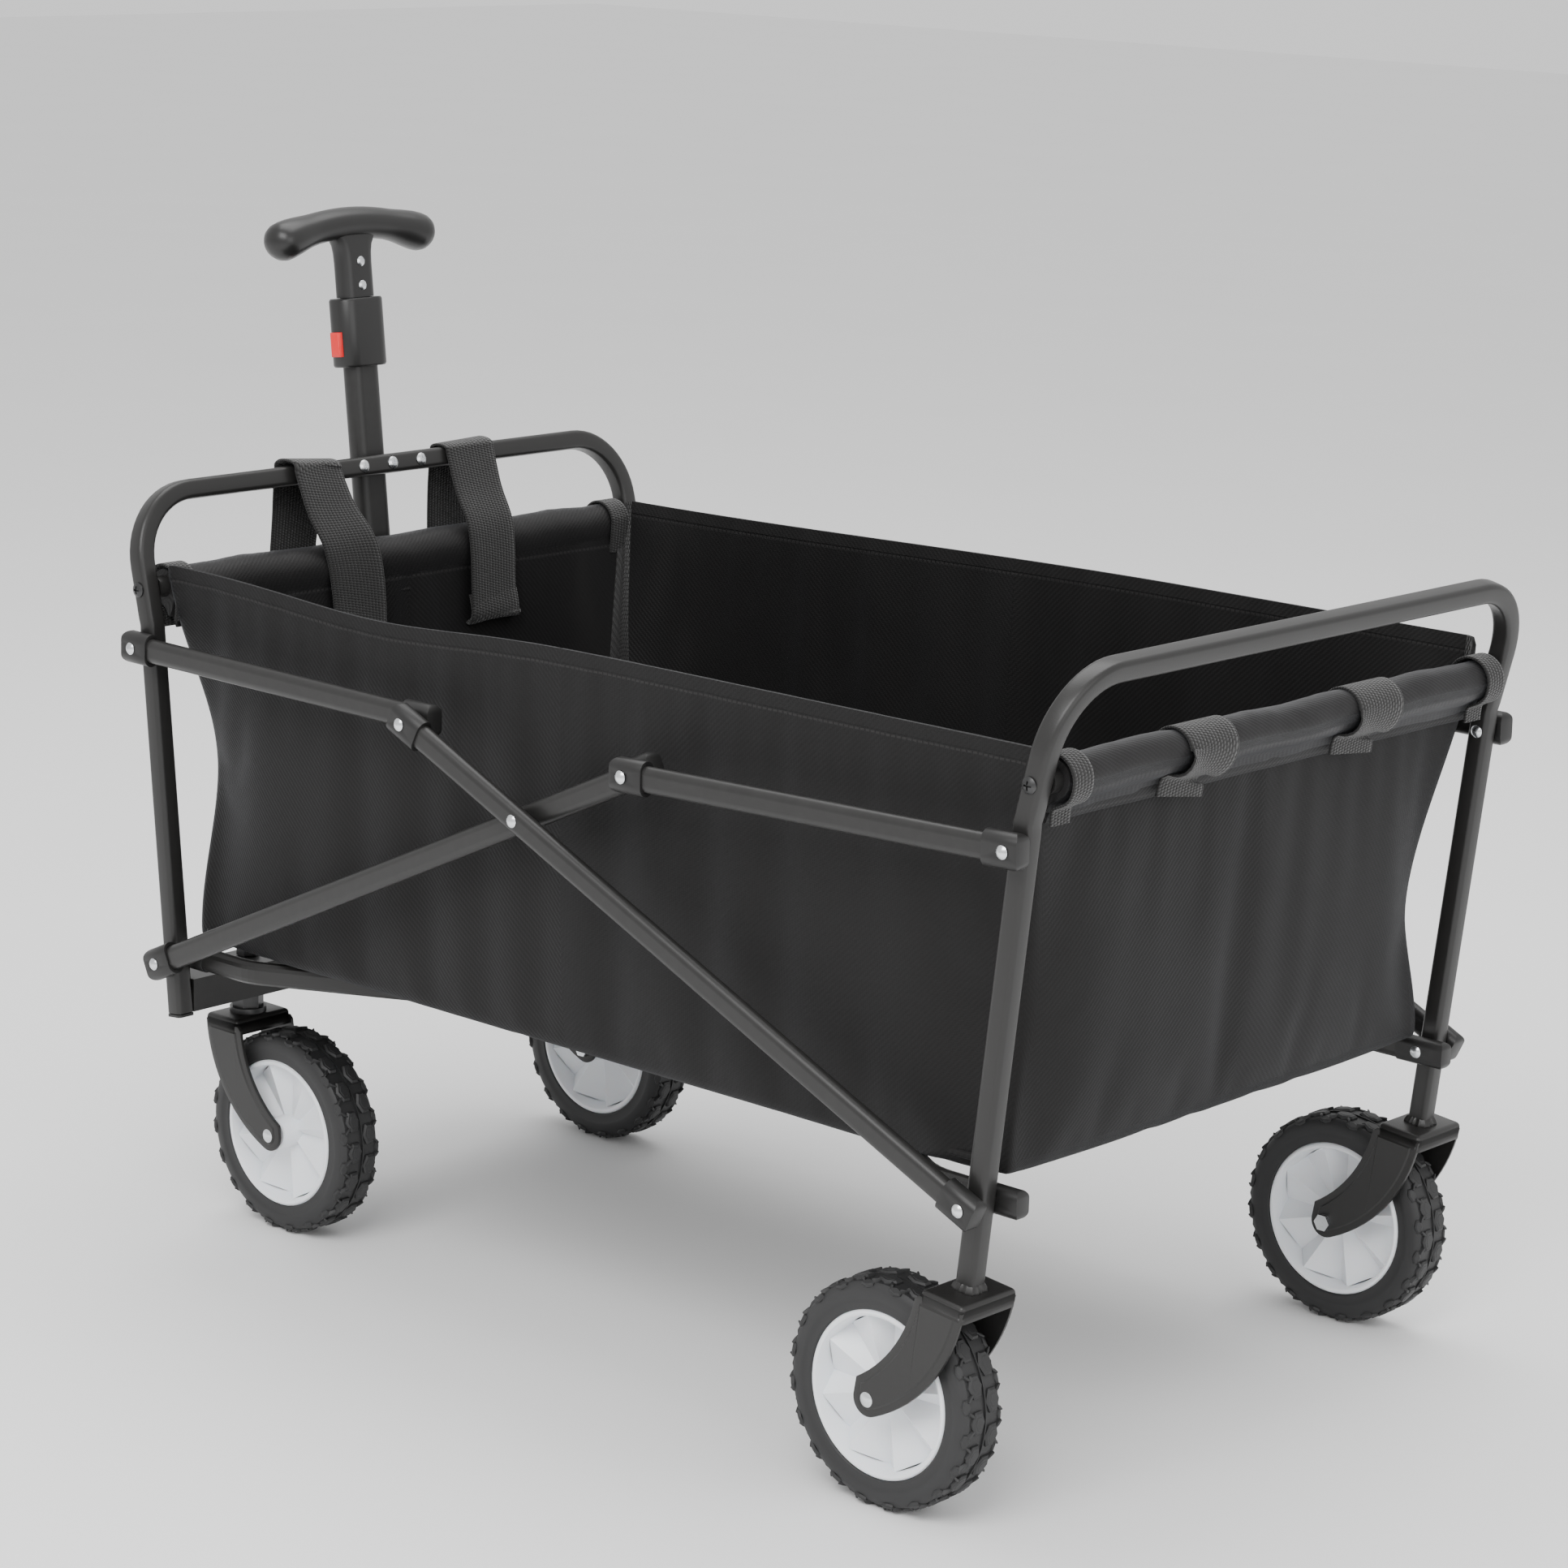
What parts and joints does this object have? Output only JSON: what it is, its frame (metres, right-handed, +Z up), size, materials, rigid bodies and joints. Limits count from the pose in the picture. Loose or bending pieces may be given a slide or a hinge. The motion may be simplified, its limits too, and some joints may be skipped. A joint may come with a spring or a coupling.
{
  "type": "folding wagon",
  "caption": "Folding fabric wagon with a scissor side frame, swivel front casters and a telescopic T-grip pull handle.",
  "frame": {"origin": "on the floor under the middle of the overall length, handle included, on the plane of symmetry", "axes": "+X along the length from the handle end to the fixed-wheel end, +Y to the right seen from the handle end, +Z up"},
  "size_m": [0.9402, 0.5912, 0.7584],
  "materials": {
    "powder_steel": "satin black powder coat",
    "satin_tube": "satin black powder coat on drawn tube",
    "black_nylon": "moulded black nylon",
    "zinc_steel": "bright zinc plate",
    "black_steel": "black-plated steel",
    "tyre_rubber": "matt black tread rubber",
    "white_plastic": "moulded white plastic",
    "body_fabric": "black polyester twill",
    "webbing": "black woven webbing",
    "board_fabric": "fabric-covered stiff board",
    "red_plastic": "moulded red plastic"
  },
  "bodies": {
    "front_frame": {"front_frame_tube": "powder_steel", "front_crossbar": "powder_steel", "front_leg_caps": "black_nylon", "front_sleeve_rod": "satin_tube", "front_rod_plugs": "black_nylon", "front_rod_screws": "black_steel", "front_pivot_rivets": "zinc_steel", "bag": "body_fabric", "strap_left": "webbing", "strap_right": "webbing", "handle_bracket": "powder_steel", "handle_pivot_pin": "zinc_steel", "handle_clip": "black_nylon", "clip_screws": "zinc_steel"},
    "rear_frame": {"rear_frame_tube": "powder_steel", "rear_sleeve_rod": "satin_tube", "rear_rod_plugs": "black_nylon", "rear_rod_screws": "black_steel", "rear_pivot_rivets": "zinc_steel", "rear_forks": "powder_steel", "rear_axles": "zinc_steel"},
    "lower_diagonals": {"lower_diagonal_tubes": "satin_tube", "lower_diagonal_caps": "black_nylon", "cross_rivets": "zinc_steel"},
    "upper_diagonals": {"upper_diagonal_tubes": "satin_tube", "upper_diagonal_caps": "black_nylon", "upper_diagonal_rivets": "zinc_steel"},
    "front_links": {"front_link_tubes": "satin_tube", "front_link_caps": "black_nylon"},
    "rear_links": {"rear_link_tubes": "satin_tube", "rear_link_caps": "black_nylon", "rear_link_rivets": "zinc_steel"},
    "floor_front": {"front_rails": "satin_tube", "front_rail_caps": "black_nylon", "front_floor_board": "board_fabric"},
    "floor_rear": {"rear_rails": "satin_tube", "rear_rail_caps": "black_nylon", "rear_floor_board": "board_fabric", "rail_joint_rivets": "zinc_steel"},
    "caster_left": {"caster_fork_left": "powder_steel", "caster_stem_left": "black_steel", "caster_axle_left": "zinc_steel"},
    "caster_right": {"caster_fork_right": "powder_steel", "caster_stem_right": "black_steel", "caster_axle_right": "zinc_steel"},
    "wheel_front_left": {"tyre_front_left": "tyre_rubber", "rim_front_left": "white_plastic"},
    "wheel_front_right": {"tyre_front_right": "tyre_rubber", "rim_front_right": "white_plastic"},
    "wheel_rear_left": {"tyre_rear_left": "tyre_rubber", "rim_rear_left": "white_plastic"},
    "wheel_rear_right": {"tyre_rear_right": "tyre_rubber", "rim_rear_right": "white_plastic"},
    "handle_lower": {"handle_shaft": "satin_tube", "handle_collar": "black_nylon", "button_spring": "zinc_steel"},
    "handle_upper": {"handle_tube": "satin_tube", "handle_grip": "black_nylon", "grip_rivets": "zinc_steel"},
    "release_button": {"release_button": "red_plastic"}
  },
  "joints": [
    {"name": "fold", "type": "hinge", "parent": "front_frame", "child": "lower_diagonals", "pos_m": [-0.36357, 0, 0.2192], "axis": [0, 1, 0], "range_deg": [-62.1, 0], "deforming": ["bag", "strap_left", "strap_right", "front_floor_board", "rear_floor_board"]},
    {"name": "cross_pivot", "type": "hinge", "parent": "lower_diagonals", "child": "upper_diagonals", "pos_m": [0.025, 0, 0.4009], "axis": [0, 1, 0], "range_deg": [0, 112.5]},
    {"name": "rear_frame_pivot", "type": "hinge", "parent": "upper_diagonals", "child": "rear_frame", "pos_m": [0.41358, 0, 0.2192], "axis": [0, 1, 0], "range_deg": [-62.15, 0]},
    {"name": "front_link_pivot", "type": "hinge", "parent": "front_frame", "child": "front_links", "pos_m": [-0.3878, 0, 0.4544], "axis": [0, 1, 0], "range_deg": [-87.81, 0]},
    {"name": "rear_link_pivot", "type": "hinge", "parent": "rear_frame", "child": "rear_links", "pos_m": [0.4378, 0, 0.4544], "axis": [0, 1, 0], "range_deg": [0, 87.81]},
    {"name": "front_rail_pivot", "type": "hinge", "parent": "front_frame", "child": "floor_front", "pos_m": [-0.36357, 0, 0.2192], "axis": [0, 1, 0], "range_deg": [-86.3, 0]},
    {"name": "rear_rail_pivot", "type": "hinge", "parent": "rear_frame", "child": "floor_rear", "pos_m": [0.41358, 0, 0.2192], "axis": [0, 1, 0], "range_deg": [0, 86.3]},
    {"name": "caster_swivel_left", "type": "hinge", "parent": "front_frame", "child": "caster_left", "pos_m": [-0.37968, -0.17, 0.16], "axis": [0, 0, 1], "continuous": true},
    {"name": "wheel_spin_front_left", "type": "hinge", "parent": "caster_left", "child": "wheel_front_left", "pos_m": [-0.32568, -0.17, 0.0775], "axis": [0, 1, 0], "continuous": true},
    {"name": "caster_swivel_right", "type": "hinge", "parent": "front_frame", "child": "caster_right", "pos_m": [-0.37968, 0.17, 0.16], "axis": [0, 0, 1], "continuous": true},
    {"name": "wheel_spin_front_right", "type": "hinge", "parent": "caster_right", "child": "wheel_front_right", "pos_m": [-0.32568, 0.17, 0.0775], "axis": [0, 1, 0], "continuous": true},
    {"name": "wheel_spin_rear_left", "type": "hinge", "parent": "rear_frame", "child": "wheel_rear_left", "pos_m": [0.34872, -0.2535, 0.0775], "axis": [0, 1, 0], "continuous": true},
    {"name": "wheel_spin_rear_right", "type": "hinge", "parent": "rear_frame", "child": "wheel_rear_right", "pos_m": [0.34872, 0.2535, 0.0775], "axis": [0, 1, 0], "continuous": true},
    {"name": "handle_tilt", "type": "hinge", "parent": "front_frame", "child": "handle_lower", "pos_m": [-0.394, 0, 0.224], "axis": [0, 1, 0], "range_deg": [-95, 0]},
    {"name": "handle_extend", "type": "slide", "parent": "handle_lower", "child": "handle_upper", "axis": [-0.1167, 0, 0.9932], "range_m": [0, 0.32]},
    {"name": "button_press", "type": "slide", "parent": "handle_lower", "child": "release_button", "axis": [0, 1, 0], "range_m": [0, 0.003], "stiffness_N_per_m": 600, "deforming": ["button_spring"]}
  ],
  "couplings": [
    {"joint": "cross_pivot", "follows": "fold", "ratio": -1.8106},
    {"joint": "rear_frame_pivot", "follows": "fold", "ratio": 1},
    {"joint": "front_link_pivot", "follows": "fold", "ratio": 1.4131},
    {"joint": "rear_link_pivot", "follows": "fold", "ratio": -1.4131},
    {"joint": "front_rail_pivot", "follows": "fold", "ratio": 1.3888},
    {"joint": "rear_rail_pivot", "follows": "fold", "ratio": -1.3888}
  ]
}
